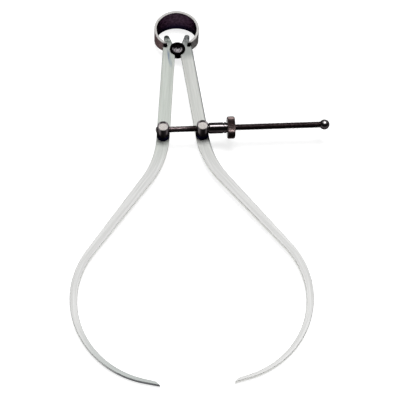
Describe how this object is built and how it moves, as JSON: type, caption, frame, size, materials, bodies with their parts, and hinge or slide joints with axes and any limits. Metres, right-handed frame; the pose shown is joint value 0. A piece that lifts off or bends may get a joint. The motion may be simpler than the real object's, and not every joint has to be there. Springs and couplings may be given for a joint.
{
  "type": "outside spring caliper",
  "caption": "Outside caliper with bowed legs, a roller pivot, a bow spring, and an adjusting screw with a knurled nut.",
  "frame": {"origin": "on the fulcrum axis, at the middle of the roller's flat back face; the roller's back flange, the leg backs and the bow's lower rim lie at different heights, so the caliper rests on the bow and the tips", "axes": "+X to the right across the legs, along the screw towards its ball; +Y from the measuring tips towards the bow; +Z along the fulcrum axis, out of the front face that carries the posts"},
  "size_m": [0.1412, 0.2228, 0.0209],
  "materials": {
    "leg_steel": "fine satin ground steel",
    "spring_steel": "oil-blacked spring steel with ground rims",
    "blacked_steel": "glossy oil-blacked steel"
  },
  "bodies": {
    "frame": {"fulcrum_roller": "blacked_steel", "bow_spring": "spring_steel"},
    "left_leg_body": {"left_leg": "leg_steel"},
    "right_leg_body": {"right_leg": "leg_steel"},
    "left_post_body": {"left_post": "blacked_steel", "left_post_washer": "blacked_steel", "adjusting_screw": "blacked_steel", "end_ball": "blacked_steel"},
    "right_post_body": {"right_post": "blacked_steel", "right_post_washer": "blacked_steel"},
    "nut_body": {"adjusting_nut": "blacked_steel"}
  },
  "joints": [
    {"name": "left_leg_swing", "type": "hinge", "parent": "frame", "child": "left_leg_body", "pos_m": [0, 0, 0.0021], "axis": [0, 0, 1], "range_deg": [-23.5, 5.15], "deforming": ["bow_spring"]},
    {"name": "right_leg_swing", "type": "hinge", "parent": "frame", "child": "right_leg_body", "pos_m": [0, 0, 0.0021], "axis": [0, 0, 1], "range_deg": [-5.15, 23.5]},
    {"name": "left_post_swivel", "type": "hinge", "parent": "left_leg_body", "child": "left_post_body", "pos_m": [-0.0106, -0.05783, 0.00945], "axis": [0, 0, 1], "range_deg": [-5.15, 23.5]},
    {"name": "right_post_swivel", "type": "hinge", "parent": "right_leg_body", "child": "right_post_body", "pos_m": [0.0106, -0.05783, 0.00945], "axis": [0, 0, 1], "range_deg": [-23.5, 5.15]},
    {"name": "nut_turn", "type": "hinge", "parent": "right_post_body", "child": "nut_body", "pos_m": [0.02, -0.05783, 0.00945], "axis": [1, 0, 0], "range_deg": [-5100, 23400]}
  ],
  "couplings": [
    {"joint": "left_leg_swing", "follows": "nut_turn", "ratio": -0.001},
    {"joint": "right_leg_swing", "follows": "nut_turn", "ratio": 0.001},
    {"joint": "left_post_swivel", "follows": "nut_turn", "ratio": 0.001},
    {"joint": "right_post_swivel", "follows": "nut_turn", "ratio": -0.001}
  ]
}
